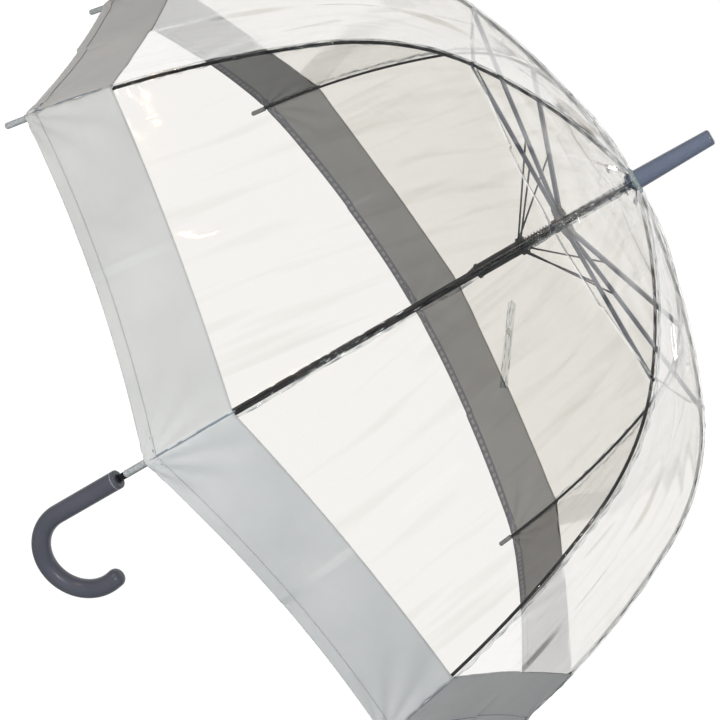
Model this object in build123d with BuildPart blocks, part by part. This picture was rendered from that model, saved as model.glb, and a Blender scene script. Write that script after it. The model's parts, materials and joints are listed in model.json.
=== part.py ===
from build123d import *
import os
from math import atan2, cos, hypot, radians, sin

# Clear dome stick umbrella, open. Millimetres, +Z up towards the ferrule.
# The origin is the middle of the straight grip of the crook handle, and the crook bends towards +X.

# ---- canopy frame ----
sector_count = 8
sector_angle = 360 / sector_count
first_rib_azimuth = -100.0

# ---- heights along the shaft, from the origin ----
grip_wall_length = 80.0
mouth_wall_length = 4.0
groove_width = 2.0
mouth_height = grip_wall_length / 2 + groove_width + mouth_wall_length
mouth_to_notch = 621.0
notch_height = mouth_height + mouth_to_notch

# ---- shaft ----
shaft_radius = 4.0
shaft_wall = 0.8
shaft_in_handle = 40.0
shaft_in_ferrule = 30.0
sliding_gap = 0.1
slot_end_gap = 0.25

# ---- crook handle ----
grip_radius = 10.6
crook_radius = 47.5
crook_turn = 190.0
crook_tail = 13.0
crook_end_round = 8.0
mouth_round = 2.0
groove_depth = 0.5
collar_radius = 5.5
collar_depth = 10.0
collar_proud = 1.5

# ---- ferrule and crown ----
ferrule_base_radius = 9.3
ferrule_tip_radius = 7.6
ferrule_tip_height = 80.0
ferrule_tip_round = 2.5
ferrule_gap = 0.2
washer_radius = 10.2
washer_thickness = 1.6
notch_radius = 9.5
notch_thickness = 5.1
notch_rise = 0.5
notch_slot_width = 2.0
notch_ring_radius = 6.0
ring_wire_radius = 0.6
ring_seat_gap = 0.05
rib_pivot_drop = 1.3

# ---- ribs: three tangent arcs in the plane of each rib ----
rib_start_slope = 3.2
rib_joint_slope = 23.5
rib_bend_slope = 58.1
rib_rim_slope = 75.5
inner_rib_length = 216.5
outer_rib_upper_length = 135.6
outer_rib_lower_length = 249.6
rib_wire_radius = 1.45
rib_eye_length = 6.5
rib_eye_thickness = 1.6
rib_eye_lap = 1.0
rib_eye_gap = 0.15
knuckle_reach = 3.4
knuckle_gap = 0.1
cap_radius = 2.7
cap_length = 19.0
cap_gap = 0.4

# ---- hub, runner, spring and catches ----
hub_drop = 76.0
hub_pivot_radius = 16.0
hub_flange_radius = 17.6
hub_flange_thickness = 7.0
hub_sleeve_radius = 6.4
hub_sleeve_below = 7.0
hub_slot_side_gap = 0.3
hub_slot_back_gap = 0.2
runner_drop = 121.0
runner_crown_radius = 8.9
runner_crown_thickness = 7.0
runner_tube_radius = 6.7
runner_tube_length = 48.0
runner_lip_radius = 7.6
runner_lip_length = 3.0
runner_lip_round = 0.8
strut_notch_width = 2.6
strut_seat_gap = 0.4
hub_notch_start = 8.0
spring_wire_radius = 0.55
spring_coil_radius = 5.6
spring_turns = 9
spring_end_gap = 0.3
catch_width = 1.9
catch_length = 12.0
catch_proud = 2.0
catch_root = 2.4
catch_lip = 1.0
catch_side_gap = 0.25
open_catch_gap = 0.5
closed_catch_drop = 478.0
catch_azimuth = 180.0
keyway_width = 2.6
keyway_gap = 0.35

# ---- stretchers and struts ----
stretcher_width = 5.0
stretcher_height = 3.6
stretcher_wall = 0.6
nose_radius = 1.4
nose_thickness = 1.8
nose_length = 9.0
channel_start = 4.0
fork_length = 12.0
fork_lap = 0.01
rivet_radius = 0.7
rivet_gap = 0.1
rivet_head_radius = 1.5
rivet_head_thickness = 0.5
strut_radius = 0.9
strut_share = 0.35
strut_side_gap = 0.4
strut_pivot_x = 7.2

# ---- canopy ----
canopy_offset = 2.2
clear_thickness = 0.5
band_thickness = 0.7
band_width = 76.0
seam_gap = 0.2
fold_gap = 0.4
canopy_crown_x = 4.8
strap_width = 12.0
strap_length = 106.0
strap_thickness = 0.8
strap_stud_radius = 4.0
strap_stud_height = 1.6
strap_stud_inset = 37.0
strap_sector = 4
strap_aside = 2.0
strap_lean = 53.0

os.makedirs("parts", exist_ok=True)


def save(shape, label):
    """Names a finished piece and writes it as its own file."""
    shape.label = label
    export_step(shape, f"parts/{label}.step")


def arc_end(start, slope_a, slope_b, length):
    """The far end of an arc that leaves start at slope_a below level and arrives at slope_b."""
    radius = length / radians(slope_b - slope_a)
    return (
        start[0] + radius * (sin(radians(slope_b)) - sin(radians(slope_a))),
        start[1] + radius * (cos(radians(slope_b)) - cos(radians(slope_a))),
    )


rib_pivot = (notch_ring_radius, notch_height - rib_pivot_drop)
rib_arcs = [
    (inner_rib_length, rib_start_slope, rib_joint_slope),
    (outer_rib_upper_length, rib_joint_slope, rib_bend_slope),
    (outer_rib_lower_length, rib_bend_slope, rib_rim_slope),
]
rib_length = sum(length for length, slope_a, slope_b in rib_arcs)


def rib_point(distance):
    """Radius, height and slope below level at a distance along the rib from its pivot."""
    start = rib_pivot
    left = distance
    for length, slope_a, slope_b in rib_arcs:
        if left <= length or (length, slope_a, slope_b) == rib_arcs[-1]:
            slope = slope_a + (slope_b - slope_a) * left / length
            if abs(left) < 1e-9:
                return start[0], start[1], slope_a
            end = arc_end(start, slope_a, slope, left)
            return end[0], end[1], slope
        start = arc_end(start, slope_a, slope_b, length)
        left -= length


def rib_place(distance):
    """The rib's axis point in three dimensions, in the plane y = 0."""
    radius, height, slope = rib_point(distance)
    return Vector(radius, 0, height)


def rib_plane(distance):
    """A plane square to the rib, whose x direction is the tangential one."""
    radius, height, slope = rib_point(distance)
    forward = Vector(cos(radians(slope)), 0, -sin(radians(slope)))
    return Plane(origin=(radius, 0, height), x_dir=(0, 1, 0), z_dir=forward)


joint_x, joint_z, joint_slope = rib_point(inner_rib_length)
hub_pivot = (hub_pivot_radius, notch_height - hub_drop)
stretcher_length = hypot(joint_x - hub_pivot[0], joint_z - hub_pivot[1])
stretcher_rise = atan2(joint_z - hub_pivot[1], joint_x - hub_pivot[0])
stretcher_plane = Plane(
    origin=(hub_pivot[0], 0, hub_pivot[1]),
    x_dir=(cos(stretcher_rise), 0, sin(stretcher_rise)),
    z_dir=(-sin(stretcher_rise), 0, cos(stretcher_rise)),
)
strut_top = (
    hub_pivot[0] + strut_share * stretcher_length * cos(stretcher_rise),
    hub_pivot[1] + strut_share * stretcher_length * sin(stretcher_rise),
)
strut_foot = (strut_pivot_x, notch_height - runner_drop)
half_height = stretcher_height / 2
strut_side = stretcher_width / 2 + strut_side_gap + strut_radius
crown_top = notch_height - runner_drop + runner_crown_thickness / 2
runner_end = crown_top - runner_crown_thickness - runner_tube_length
hub_bottom = hub_pivot[1] - hub_flange_thickness / 2 - hub_sleeve_below
through_cut = 4 * notch_height


def on_rib(shape, sector):
    """A copy turned from the plane y = 0 to the plane of one rib."""
    return shape.rotate(Axis.Z, first_rib_azimuth - sector * sector_angle)


def on_gore(shape, sector):
    """A copy turned to the middle of the gore that follows one rib."""
    return shape.rotate(Axis.Z, first_rib_azimuth - (sector + 0.5) * sector_angle)


# ---- shaft: a steel tube with two slots for the catches ----
shaft_bottom = mouth_height - shaft_in_handle
shaft_top = notch_height + shaft_in_ferrule
open_catch_top = runner_end - open_catch_gap
closed_catch_top = notch_height - closed_catch_drop
catch_tops = {"open_catch": open_catch_top, "closed_catch": closed_catch_top}
with BuildPart() as shaft:
    with BuildSketch(Plane.XY.offset(shaft_bottom)):
        Circle(shaft_radius)
        Circle(shaft_radius - shaft_wall, mode=Mode.SUBTRACT)
    extrude(amount=shaft_top - shaft_bottom)
    for top in catch_tops.values():
        with Locations((-shaft_radius, 0, top - catch_length / 2)):
            Box(
                2 * shaft_radius,
                catch_width + 2 * catch_side_gap,
                catch_length + 2 * slot_end_gap,
                mode=Mode.SUBTRACT,
            )
save(shaft.part, "shaft")

# ---- catches: sprung wedges that hold the runner up when open and down when shut ----
for name, top in catch_tops.items():
    with BuildPart() as catch:
        with BuildSketch(Plane.XZ):
            with BuildLine():
                Polyline(
                    (-catch_root, top),
                    (-shaft_radius - catch_proud, top),
                    (-shaft_radius - catch_proud, top - catch_lip),
                    (-shaft_radius + shaft_wall, top - catch_length),
                    (-catch_root, top - catch_length),
                    close=True,
                )
            make_face()
        extrude(amount=catch_width / 2, both=True)
    save(catch.part, name)

# ---- crook handle: a moulded rod bent into a hook, with a ring groove under its mouth ----
bend_height = mouth_height - mouth_wall_length - groove_width - grip_wall_length
with BuildPart() as handle:
    with BuildLine() as crook:
        straight = Line((0, 0, mouth_height), (0, 0, bend_height))
        bend_centre = (crook_radius, bend_height)
        half_turn = radians(crook_turn / 2)
        bend_end = (
            bend_centre[0] - crook_radius * cos(2 * half_turn),
            bend_centre[1] - crook_radius * sin(2 * half_turn),
        )
        bend = ThreePointArc(
            (0, 0, bend_height),
            (
                bend_centre[0] - crook_radius * cos(half_turn),
                0,
                bend_centre[1] - crook_radius * sin(half_turn),
            ),
            (bend_end[0], 0, bend_end[1]),
        )
        tail_way = (sin(2 * half_turn), -cos(2 * half_turn))
        Line(
            bend @ 1,
            (bend_end[0] + crook_tail * tail_way[0], 0, bend_end[1] + crook_tail * tail_way[1]),
        )
    with BuildSketch(Plane.XY.offset(mouth_height)):
        Circle(grip_radius)
    sweep(path=crook.line)
    tail_face = handle.faces().filter_by(GeomType.PLANE).sort_by(Axis.X)[-1]
    fillet(tail_face.edges(), crook_end_round)
    mouth_face = handle.faces().filter_by(GeomType.PLANE).sort_by(Axis.Z)[-1]
    fillet(mouth_face.edges(), mouth_round)
    with BuildSketch(Plane.XY.offset(bend_height + grip_wall_length)):
        Circle(grip_radius + groove_depth)
        Circle(grip_radius - groove_depth, mode=Mode.SUBTRACT)
    extrude(amount=groove_width, mode=Mode.SUBTRACT)
    with BuildSketch(Plane.XY.offset(mouth_height)):
        Circle(shaft_radius)
    extrude(amount=-shaft_in_handle, mode=Mode.SUBTRACT)
    with BuildSketch(Plane.XY.offset(mouth_height)):
        Circle(collar_radius)
    extrude(amount=-collar_depth, mode=Mode.SUBTRACT)
save(handle.part, "handle")

# ---- collar: the black bush that closes the handle's mouth round the shaft ----
with BuildPart() as collar:
    with BuildSketch(Plane.XY.offset(mouth_height - collar_depth)):
        Circle(collar_radius)
        Circle(shaft_radius, mode=Mode.SUBTRACT)
    extrude(amount=collar_depth + collar_proud)
    chamfer(collar.edges().group_by(Axis.Z)[-1].sort_by(SortBy.RADIUS)[-1], collar_proud / 3)
save(collar.part, "handle_collar")

# ---- top notch: slotted disc with a wire ring, on which the ribs hinge ----
notch_top = notch_height + notch_rise
with BuildPart() as top_notch:
    with BuildSketch(Plane.XY.offset(notch_top)):
        Circle(notch_radius)
        Circle(shaft_radius, mode=Mode.SUBTRACT)
    extrude(amount=-notch_thickness)
    slot_start = notch_ring_radius - rib_wire_radius
    for sector in range(sector_count):
        azimuth = first_rib_azimuth - sector * sector_angle
        with Locations(Location((0, 0, notch_top), (0, 0, azimuth))):
            with Locations((slot_start + notch_radius / 2, 0, 0)):
                Box(notch_radius, notch_slot_width, 3 * notch_thickness, mode=Mode.SUBTRACT)
    with Locations((0, 0, rib_pivot[1])):
        Torus(notch_ring_radius, ring_wire_radius + ring_seat_gap, mode=Mode.SUBTRACT)
        Torus(notch_ring_radius, ring_wire_radius)
save(top_notch.part, "top_notch")

# ---- crown washer and ferrule above the canopy ----
canopy_top = rib_pivot[1] + canopy_offset + clear_thickness
washer_bottom = canopy_top + fold_gap
with BuildPart() as washer:
    with BuildSketch(Plane.XY.offset(washer_bottom)):
        Circle(washer_radius)
        Circle(shaft_radius, mode=Mode.SUBTRACT)
    extrude(amount=washer_thickness)
    fillet(washer.edges().group_by(Axis.Z)[-1].sort_by(SortBy.RADIUS)[-1], washer_thickness / 2)
save(washer.part, "crown_washer")

ferrule_bottom = washer_bottom + washer_thickness
with BuildPart() as ferrule:
    with BuildSketch(Plane.XZ):
        with BuildLine():
            Polyline(
                (0, ferrule_bottom),
                (ferrule_base_radius, ferrule_bottom),
                (ferrule_tip_radius, notch_height + ferrule_tip_height),
                (0, notch_height + ferrule_tip_height),
                close=True,
            )
        make_face()
    revolve(axis=Axis.Z)
    fillet(ferrule.edges().group_by(Axis.Z)[-1], ferrule_tip_round)
    with BuildSketch(Plane.XY.offset(ferrule_bottom)):
        Circle(shaft_radius)
    extrude(amount=shaft_top - ferrule_bottom + ferrule_gap, mode=Mode.SUBTRACT)
save(ferrule.part, "ferrule")

# ---- upper hub: sliding sleeve whose flange holds the stretchers' noses ----
nose_seat = hub_pivot_radius - nose_radius - hub_slot_back_gap
hub_slot_width = nose_thickness + 2 * hub_slot_side_gap
with BuildPart() as hub:
    with BuildSketch(Plane.XY.offset(hub_pivot[1] + hub_flange_thickness / 2)):
        Circle(hub_flange_radius)
    extrude(amount=-hub_flange_thickness)
    with BuildSketch(Plane.XY.offset(hub_pivot[1] + hub_flange_thickness / 2)):
        Circle(hub_sleeve_radius)
    extrude(amount=-hub_flange_thickness - hub_sleeve_below)
    for sector in range(sector_count):
        azimuth = first_rib_azimuth - sector * sector_angle
        with Locations(Location((0, 0, hub_pivot[1]), (0, 0, azimuth))):
            with Locations((nose_seat + hub_flange_radius / 2, 0, 0)):
                Box(hub_flange_radius, hub_slot_width, 2 * hub_flange_thickness, mode=Mode.SUBTRACT)
            with Locations((hub_notch_start + hub_flange_radius / 2, strut_side, 0)):
                Box(hub_flange_radius, strut_notch_width, 2 * hub_flange_thickness, mode=Mode.SUBTRACT)
    Cylinder(shaft_radius + sliding_gap, through_cut, mode=Mode.SUBTRACT)
    with Locations((-shaft_radius, 0, hub_pivot[1])):
        Box(2 * (catch_proud + keyway_gap), keyway_width, 4 * hub_drop, mode=Mode.SUBTRACT)
save(hub.part, "upper_hub")

# ---- runner: notched crown on the tube that the hand slides ----
with BuildPart() as runner:
    with BuildSketch(Plane.XY.offset(crown_top)):
        Circle(runner_crown_radius)
    extrude(amount=-runner_crown_thickness)
    for sector in range(sector_count):
        azimuth = first_rib_azimuth - sector * sector_angle
        with Locations(Location((0, 0, strut_foot[1]), (0, 0, azimuth))):
            notch_start = strut_pivot_x - strut_radius - strut_seat_gap
            with Locations((notch_start + runner_crown_radius / 2, strut_side, 0)):
                Box(
                    runner_crown_radius,
                    strut_notch_width,
                    2 * runner_crown_thickness,
                    mode=Mode.SUBTRACT,
                )
    with BuildSketch(Plane.XY.offset(crown_top - runner_crown_thickness)):
        Circle(runner_tube_radius)
    extrude(amount=-runner_tube_length)
    with BuildSketch(Plane.XY.offset(runner_end)):
        Circle(runner_lip_radius)
    extrude(amount=runner_lip_length)
    fillet(runner.edges().group_by(Axis.Z)[0], runner_lip_round)
    Cylinder(shaft_radius + sliding_gap, through_cut, mode=Mode.SUBTRACT)
    with Locations((-shaft_radius, 0, crown_top)):
        Box(2 * (catch_proud + keyway_gap), keyway_width, 4 * runner_drop, mode=Mode.SUBTRACT)
save(runner.part, "runner")

# ---- spring between hub and runner ----
spring_top = hub_bottom - spring_end_gap - spring_wire_radius
spring_bottom = crown_top + spring_end_gap + spring_wire_radius
spring_height = spring_top - spring_bottom
with BuildPart() as spring:
    with BuildLine() as coil:
        Helix(
            pitch=spring_height / spring_turns,
            height=spring_height,
            radius=spring_coil_radius,
            center=(0, 0, spring_bottom),
        )
    with BuildSketch(Plane(origin=coil.line @ 0, z_dir=coil.line % 0)):
        Circle(spring_wire_radius)
    sweep(path=coil.line)
save(spring.part, "spring")

# ---- inner rib: from the notch to the rivet, with its wire eye and half knuckle ----
with BuildPart() as inner_rib:
    with BuildLine() as inner_line:
        ThreePointArc(
            rib_place(rib_eye_length - rib_eye_lap),
            rib_place(inner_rib_length / 2),
            rib_place(inner_rib_length),
        )
    with BuildSketch(rib_plane(rib_eye_length - rib_eye_lap)):
        Circle(rib_wire_radius)
    sweep(path=inner_line.line)
    with Locations(Location((joint_x, 0, joint_z), (90, 0, 0))):
        Cylinder(rib_wire_radius, 2 * rib_wire_radius)
    with Locations((joint_x, knuckle_reach / 2 - knuckle_gap / 2, joint_z)):
        Box(2 * knuckle_reach, knuckle_reach, 2 * knuckle_reach, mode=Mode.SUBTRACT)
    with Locations(Location((rib_pivot[0], 0, rib_pivot[1]), (90, 0, 0))):
        Cylinder(rib_wire_radius, rib_eye_thickness)
    eye_plane = rib_plane(0)
    with BuildSketch(Plane(eye_plane.origin, x_dir=(0, 1, 0), z_dir=eye_plane.z_dir)):
        Rectangle(rib_eye_thickness, 2 * rib_wire_radius)
    extrude(amount=rib_eye_length)
    with Locations(Location((rib_pivot[0], 0, rib_pivot[1]), (90, 0, 0))):
        Cylinder(ring_wire_radius + rib_eye_gap, 2 * rib_eye_thickness, mode=Mode.SUBTRACT)
    rivet_span = stretcher_width + 2 * (rivet_gap + rivet_head_thickness)
    with Locations(Location((joint_x, 0, joint_z), (90, 0, 0))):
        Cylinder(rivet_radius, rivet_span)
    head_place = stretcher_width / 2 + rivet_gap + rivet_head_thickness / 2
    for side in (-1, 1):
        with Locations(Location((joint_x, side * head_place, joint_z), (90, 0, 0))):
            Cylinder(rivet_head_radius, rivet_head_thickness)

# ---- outer rib: from the rivet to the rim, and its plastic end cap ----
with BuildPart() as outer_rib:
    with BuildLine() as outer_line:
        upper_bend = ThreePointArc(
            rib_place(inner_rib_length),
            rib_place(inner_rib_length + outer_rib_upper_length / 2),
            rib_place(inner_rib_length + outer_rib_upper_length),
        )
        ThreePointArc(
            upper_bend @ 1,
            rib_place(rib_length - outer_rib_lower_length / 2),
            rib_place(rib_length),
        )
    with BuildSketch(rib_plane(inner_rib_length)):
        Circle(rib_wire_radius)
    sweep(path=outer_line.line)
    with Locations(Location((joint_x, 0, joint_z), (90, 0, 0))):
        Cylinder(rib_wire_radius, 2 * rib_wire_radius)
    with Locations((joint_x, -knuckle_reach / 2 + knuckle_gap / 2, joint_z)):
        Box(2 * knuckle_reach, knuckle_reach, 2 * knuckle_reach, mode=Mode.SUBTRACT)
    with Locations(Location((joint_x, 0, joint_z), (90, 0, 0))):
        Cylinder(rivet_radius + rivet_gap, 4 * rib_wire_radius, mode=Mode.SUBTRACT)
with BuildPart() as end_cap:
    with BuildSketch(rib_plane(rib_length)):
        Circle(cap_radius)
    extrude(amount=cap_length)
    cap_far = end_cap.faces().sort_by(Axis(end_cap.part.center(), rib_plane(rib_length).z_dir))[-1]
    fillet(cap_far.edges(), cap_radius * 0.8)
    cap_near = end_cap.faces().sort_by(Axis(end_cap.part.center(), rib_plane(rib_length).z_dir))[0]
    fillet(cap_near.edges(), cap_radius * 0.2)

# ---- stretcher: pressed steel channel, open below, with a nose and a fork ----
with BuildPart() as stretcher:
    with BuildSketch(stretcher_plane):
        with BuildLine():
            Polyline(
                (channel_start, -stretcher_width / 2),
                (stretcher_length - fork_length, -stretcher_width / 2),
                (stretcher_length - fork_length, stretcher_width / 2),
                (channel_start, stretcher_width / 2),
                close=True,
            )
        make_face()
    extrude(amount=half_height, both=True)
    groove_width_inside = stretcher_width - 2 * stretcher_wall
    with BuildSketch(stretcher_plane.offset(-half_height)):
        with Locations((stretcher_length / 2, 0)):
            Rectangle(2 * stretcher_length, groove_width_inside)
    extrude(amount=stretcher_height - stretcher_wall, mode=Mode.SUBTRACT)
    side_plane = Plane(
        origin=stretcher_plane.origin, x_dir=stretcher_plane.x_dir, z_dir=(0, -1, 0)
    )
    for side in (-1, 1):
        flange_plane = side_plane.offset(-side * (stretcher_width - stretcher_wall) / 2)
        with BuildSketch(flange_plane):
            with Locations((stretcher_length - fork_length / 2, 0)):
                Rectangle(fork_length + fork_lap, stretcher_height)
            with Locations((stretcher_length, 0)):
                Circle(half_height)
                Circle(rivet_radius + rivet_gap, mode=Mode.SUBTRACT)
        extrude(amount=stretcher_wall / 2, both=True)
    with BuildSketch(side_plane):
        Circle(nose_radius)
        with Locations((nose_length / 2, 0)):
            Rectangle(nose_length, 2 * nose_radius)
        with Locations((nose_length / 2 + channel_start / 2, nose_radius / 2)):
            Rectangle(nose_length - channel_start, nose_radius + half_height - stretcher_wall)
    extrude(amount=nose_thickness / 2, both=True)
    with BuildSketch(side_plane.offset(-stretcher_width)):
        with Locations((strut_share * stretcher_length, 0)):
            Circle(strut_radius + rivet_gap)
    extrude(amount=stretcher_width, mode=Mode.SUBTRACT)

# ---- strut: spring wire from the stretcher's flank to the runner's crown ----
strut_run = Vector(strut_foot[0] - strut_top[0], 0, strut_foot[1] - strut_top[1])
strut_length = strut_run.length
strut_plane = Plane(
    origin=(strut_top[0], strut_side, strut_top[1]), x_dir=(0, 1, 0), z_dir=strut_run
)
hook_depth = strut_side - stretcher_width / 2 + 2 * stretcher_wall
with BuildPart() as strut:
    with BuildSketch(strut_plane):
        Circle(strut_radius)
    extrude(amount=strut_length)
    with Locations(
        (strut_top[0], strut_side, strut_top[1]), (strut_foot[0], strut_side, strut_foot[1])
    ):
        Sphere(strut_radius)
    with Locations(
        Location((strut_top[0], strut_side - hook_depth / 2, strut_top[1]), (90, 0, 0))
    ):
        Cylinder(strut_radius, hook_depth)


def gore_points(distance, outward):
    """Mid-gore radius and height at a distance along the rib, pushed out from the rib's axis."""
    radius, height, slope = rib_point(distance)
    radius += outward * sin(radians(slope))
    height += outward * cos(radians(slope))
    return radius * cos(radians(sector_angle / 2)), height


def gore_sheet(start, end, thickness, stations):
    """One gore's curved sheet between two distances along the rib, cut to its sector."""
    steps = [start + (end - start) * index / stations for index in range(stations + 1)]
    inside = [gore_points(step, canopy_offset) for step in steps]
    outside = [gore_points(step, canopy_offset + thickness) for step in steps]
    reach = 2 * joint_x
    with BuildPart() as sheet:
        with BuildSketch(Plane.XZ):
            with BuildLine():
                low = Spline(*inside)
                high = Spline(*outside)
                Line(low @ 0, high @ 0)
                Line(low @ 1, high @ 1)
            make_face()
        extrude(amount=reach, both=True)
        half = radians(sector_angle / 2)
        apex = seam_gap / 2 / sin(half)
        with BuildSketch(Plane.XY.offset(gore_points(end, 0)[1] - band_width)):
            with BuildLine():
                Polyline(
                    (apex, 0),
                    (apex + reach * cos(half), reach * sin(half)),
                    (apex + reach * cos(half), -reach * sin(half)),
                    close=True,
                )
            make_face()
        extrude(amount=2 * notch_height, mode=Mode.INTERSECT)
    return sheet.part


crown_start = canopy_crown_x - notch_ring_radius
upper_sheet = gore_sheet(crown_start, inner_rib_length - fold_gap, clear_thickness, 8)
clear_end = rib_length - band_width
lower_sheet = gore_sheet(inner_rib_length + fold_gap, clear_end, clear_thickness, 12)
band_sheet = gore_sheet(clear_end, rib_length, band_thickness, 6)

for sector in range(sector_count):
    save(on_rib(inner_rib.part, sector), f"inner_rib_{sector}")
    save(
        Compound(children=[on_rib(outer_rib.part, sector), on_rib(end_cap.part, sector)]),
        f"outer_rib_{sector}",
    )
    save(on_rib(stretcher.part, sector), f"stretcher_{sector}")
    save(on_rib(strut.part, sector), f"strut_{sector}")
    save(on_gore(upper_sheet, sector), f"upper_gore_{sector}")
    save(
        Compound(children=[on_gore(lower_sheet, sector), on_gore(band_sheet, sector)]),
        f"lower_gore_{sector}",
    )

# ---- closing strap: a clear strip with a press stud, welded inside one gore at the band's top ----
lean = radians(strap_lean)
strap_rise = strap_length * cos(lean)
strap_seat = gore_points(clear_end - strap_rise / 2, canopy_offset)
strap_above = gore_points(clear_end - strap_rise, canopy_offset)
strap_below = gore_points(clear_end, canopy_offset)
up_gore = Vector(strap_above[0] - strap_below[0], 0, strap_above[1] - strap_below[1]).normalized()
across_gore = Vector(0, 1, 0)
strap_plane = Plane(
    origin=(strap_seat[0], strap_aside + strap_length * sin(lean) / 2, strap_seat[1]),
    x_dir=up_gore * cos(lean) + across_gore * sin(lean),
    z_dir=across_gore.cross(up_gore),
)
strap_steps = [clear_end + strap_width, clear_end - strap_rise / 2, clear_end - strap_rise - strap_width]
with BuildPart() as strap:
    with BuildSketch(Plane.XZ):
        with BuildLine():
            inner = Spline(*[gore_points(step, canopy_offset - strap_thickness) for step in strap_steps])
            outer = Spline(*[gore_points(step, canopy_offset) for step in strap_steps])
            Line(inner @ 0, outer @ 0)
            Line(inner @ 1, outer @ 1)
        make_face()
    extrude(amount=2 * strap_length, both=True)
    with BuildSketch(strap_plane):
        with Locations((-strap_width / 4, 0)):
            Rectangle(strap_length - strap_width / 2, strap_width)
        with Locations((strap_length / 2 - strap_width / 2, 0)):
            Circle(strap_width / 2)
    extrude(amount=strap_width, both=True, mode=Mode.INTERSECT)
    stud_place = (strap_length / 2 - strap_stud_inset, 0)
    with BuildSketch(strap_plane.offset(-strap_thickness / 2)):
        with Locations(stud_place):
            Circle(strap_stud_radius)
    extrude(amount=-strap_thickness / 2 - strap_stud_height)
save(on_gore(strap.part, strap_sector), "closing_strap")
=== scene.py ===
import json
import math

import bpy
from mathutils import Matrix, Vector


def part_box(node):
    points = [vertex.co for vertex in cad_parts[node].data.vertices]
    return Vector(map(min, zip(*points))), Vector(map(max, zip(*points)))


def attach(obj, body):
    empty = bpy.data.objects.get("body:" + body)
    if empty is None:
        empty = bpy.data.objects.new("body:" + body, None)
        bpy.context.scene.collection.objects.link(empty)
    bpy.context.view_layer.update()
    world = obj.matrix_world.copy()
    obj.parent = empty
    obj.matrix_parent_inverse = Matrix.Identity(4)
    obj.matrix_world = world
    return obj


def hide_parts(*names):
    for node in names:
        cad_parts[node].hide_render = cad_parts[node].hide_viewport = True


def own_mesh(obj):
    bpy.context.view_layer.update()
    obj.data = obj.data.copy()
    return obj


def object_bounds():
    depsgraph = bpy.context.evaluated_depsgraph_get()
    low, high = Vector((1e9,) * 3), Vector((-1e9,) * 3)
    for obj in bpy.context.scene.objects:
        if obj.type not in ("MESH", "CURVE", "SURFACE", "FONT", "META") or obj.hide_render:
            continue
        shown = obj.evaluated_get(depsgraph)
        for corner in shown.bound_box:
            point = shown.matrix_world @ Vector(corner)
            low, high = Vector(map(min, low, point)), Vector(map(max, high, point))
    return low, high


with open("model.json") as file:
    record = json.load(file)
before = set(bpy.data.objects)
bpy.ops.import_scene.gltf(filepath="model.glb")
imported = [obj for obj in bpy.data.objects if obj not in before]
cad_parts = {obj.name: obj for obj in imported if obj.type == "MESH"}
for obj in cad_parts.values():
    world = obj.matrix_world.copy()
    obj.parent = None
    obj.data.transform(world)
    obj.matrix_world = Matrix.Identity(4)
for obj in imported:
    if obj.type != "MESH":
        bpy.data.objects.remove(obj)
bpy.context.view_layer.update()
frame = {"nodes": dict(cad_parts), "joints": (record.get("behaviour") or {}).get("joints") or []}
bpy.ops.object.select_all(action="DESELECT")
nodes = frame["nodes"]

# ---- camera ----
# Looks slightly down on the open umbrella, rolled so that the shaft climbs to the upper right.
camera_place = (-0.2479, -1.4144, 0.8358)
camera_right = (0.53901, 0.18059, 0.82271)
camera_up = (-0.82151, 0.32838, 0.46614)
camera_back = (-0.18599, -0.92712, 0.32536)
camera_data = bpy.data.cameras.new("camera")
camera_data.lens = 76.12
camera_data.sensor_width = 36.0
camera_data.shift_x = -0.0067
camera_data.shift_y = 0.024
camera = bpy.data.objects.new("camera", camera_data)
bpy.context.scene.collection.objects.link(camera)
camera.matrix_world = Matrix(
    [
        [camera_right[row], camera_up[row], camera_back[row], camera_place[row]]
        for row in range(3)
    ]
    + [[0, 0, 0, 1]]
)
bpy.context.scene.camera = camera


# ---- crook handle ----
# One moulded rod of glossy slate-grey plastic, bent into a hook, pressed onto the shaft.
# A paler ring is set into the groove under its mouth.
def paint(code):
    """A colour written as sRGB hex, turned to linear red, green, blue and alpha."""
    parts = [int(code[place : place + 2], 16) / 255 for place in (1, 3, 5)]
    return [part / 12.92 if part < 0.04045 else ((part + 0.055) / 1.055) ** 2.4 for part in parts] + [1]


def add(material, kind, settings=None, links=None):
    """Adds a node to a material, sets its fields and sockets, and links what feeds it."""
    node = material.node_tree.nodes.new(kind)
    for name, value in (settings or {}).items():
        if hasattr(node, name):
            setattr(node, name, value)
        else:
            node.inputs[name].default_value = value
    for socket, (source, output) in (links or {}).items():
        material.node_tree.links.new(source.outputs[output], node.inputs[socket])
    return node


def start_material(name):
    """An empty node material, to be filled from its surface outwards."""
    material = bpy.data.materials.new(name)
    material.use_nodes = True
    material.node_tree.nodes.clear()
    return material


def dress(piece, material):
    """Gives a piece one material all over."""
    piece.data.materials.clear()
    piece.data.materials.append(material)


# moulded ABS: an even gloss with the faint orange peel of a polished mould
slate_abs = start_material("moulded_slate_abs")
place = add(slate_abs, "ShaderNodeTexCoord")
peel = add(
    slate_abs, "ShaderNodeTexNoise", {"Scale": 900.0, "Detail": 2.0}, {"Vector": (place, "Object")}
)
drift = add(
    slate_abs, "ShaderNodeTexNoise", {"Scale": 22.0, "Detail": 3.0}, {"Vector": (place, "Object")}
)
shade = add(slate_abs, "ShaderNodeMix", {"data_type": "RGBA"}, {"Factor": (drift, "Fac")})
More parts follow.
